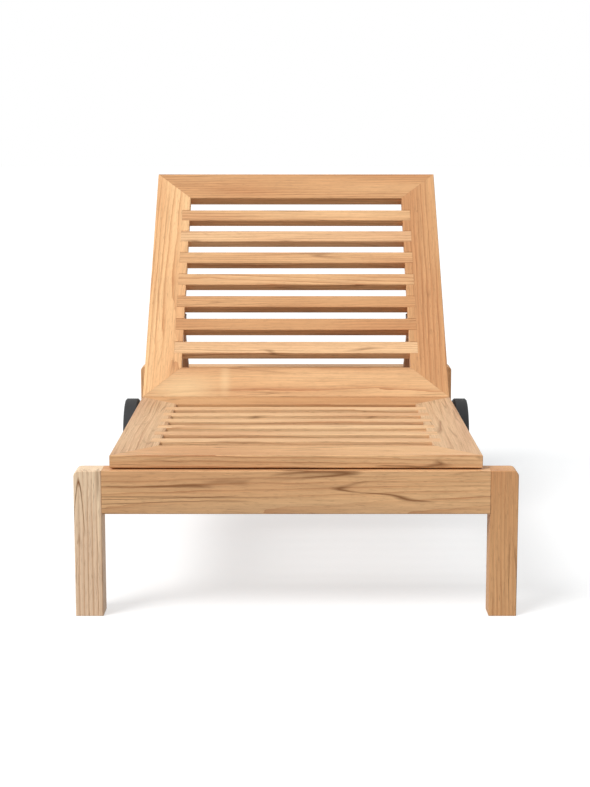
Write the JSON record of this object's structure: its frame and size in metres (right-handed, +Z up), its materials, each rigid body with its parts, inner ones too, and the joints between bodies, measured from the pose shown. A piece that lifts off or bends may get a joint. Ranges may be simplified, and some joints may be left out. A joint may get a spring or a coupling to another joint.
{
  "type": "slatted garden recliner",
  "caption": "Low slatted hardwood garden lounger with square legs, a fixed seat panel, a hinged back panel on a notched prop, and wheels outside the rear legs.",
  "frame": {"origin": "on the floor under the centre of the overall length and width", "axes": "+Z up, -Y towards the foot end, +X to the right for someone who looks at the foot end"},
  "size_m": [0.776, 1.281, 0.6684],
  "materials": {
    "frame_timber": "oiled hardwood",
    "seat_timber": "oiled hardwood",
    "back_timber": "oiled hardwood",
    "prop_timber": "oiled hardwood",
    "steel": "brushed stainless steel",
    "black_plastic": "matt black",
    "tyre": "smooth black rubber"
  },
  "bodies": {
    "base": {"front_leg_left": "frame_timber", "front_leg_right": "frame_timber", "front_apron": "frame_timber", "rear_leg_left": "frame_timber", "rear_leg_right": "frame_timber", "rear_apron": "frame_timber", "side_rail_left": "frame_timber", "side_rail_right": "frame_timber", "cross_stretcher": "frame_timber", "ratchet_rack_left": "frame_timber", "ratchet_rack_right": "frame_timber", "seat_stile_left": "seat_timber", "seat_stile_right": "seat_timber", "seat_front_rail": "seat_timber", "seat_rear_rail": "seat_timber", "seat_slat_1": "seat_timber", "seat_slat_2": "seat_timber", "seat_slat_3": "seat_timber", "seat_slat_4": "seat_timber", "seat_slat_5": "seat_timber", "seat_slat_6": "seat_timber", "hinge_seat_leaf_left": "steel", "hinge_pin_left": "steel", "axle_bolt_left": "steel", "axle_spacer_left": "black_plastic", "hinge_seat_leaf_right": "steel", "hinge_pin_right": "steel", "axle_bolt_right": "steel", "axle_spacer_right": "black_plastic"},
    "backrest": {"back_stile_left": "back_timber", "back_stile_right": "back_timber", "back_bottom_rail": "back_timber", "back_top_rail": "back_timber", "back_slat_1": "back_timber", "back_slat_2": "back_timber", "back_slat_3": "back_timber", "back_slat_4": "back_timber", "back_slat_5": "back_timber", "back_slat_6": "back_timber", "back_slat_7": "back_timber", "hinge_back_leaf_left": "steel", "prop_bracket_left": "steel", "prop_bolt_left": "steel", "hinge_back_leaf_right": "steel", "prop_bracket_right": "steel", "prop_bolt_right": "steel"},
    "prop": {"prop_arm_left": "prop_timber", "prop_arm_right": "prop_timber", "prop_foot_rod": "prop_timber"},
    "wheel_left": {"wheel_tyre_left": "tyre", "wheel_centre_left": "black_plastic", "wheel_cap_left": "black_plastic"},
    "wheel_right": {"wheel_tyre_right": "tyre", "wheel_centre_right": "black_plastic", "wheel_cap_right": "black_plastic"}
  },
  "joints": [
    {"name": "back_recline", "type": "hinge", "parent": "base", "child": "backrest", "pos_m": [0, -0.0315, 0.24815], "axis": [1, 0, 0], "range_deg": [-42.8, 15.8]},
    {"name": "prop_swing", "type": "hinge", "parent": "backrest", "child": "prop", "pos_m": [0, 0.1368, 0.37401], "axis": [1, 0, 0], "range_deg": [-31.6, 85.6]},
    {"name": "wheel_left_spin", "type": "hinge", "parent": "base", "child": "wheel_left", "pos_m": [-0.372, 0.5615, 0.079], "axis": [1, 0, 0], "continuous": true},
    {"name": "wheel_right_spin", "type": "hinge", "parent": "base", "child": "wheel_right", "pos_m": [0.372, 0.5615, 0.079], "axis": [1, 0, 0], "continuous": true}
  ],
  "couplings": [
    {"joint": "prop_swing", "follows": "back_recline", "ratio": -2}
  ]
}
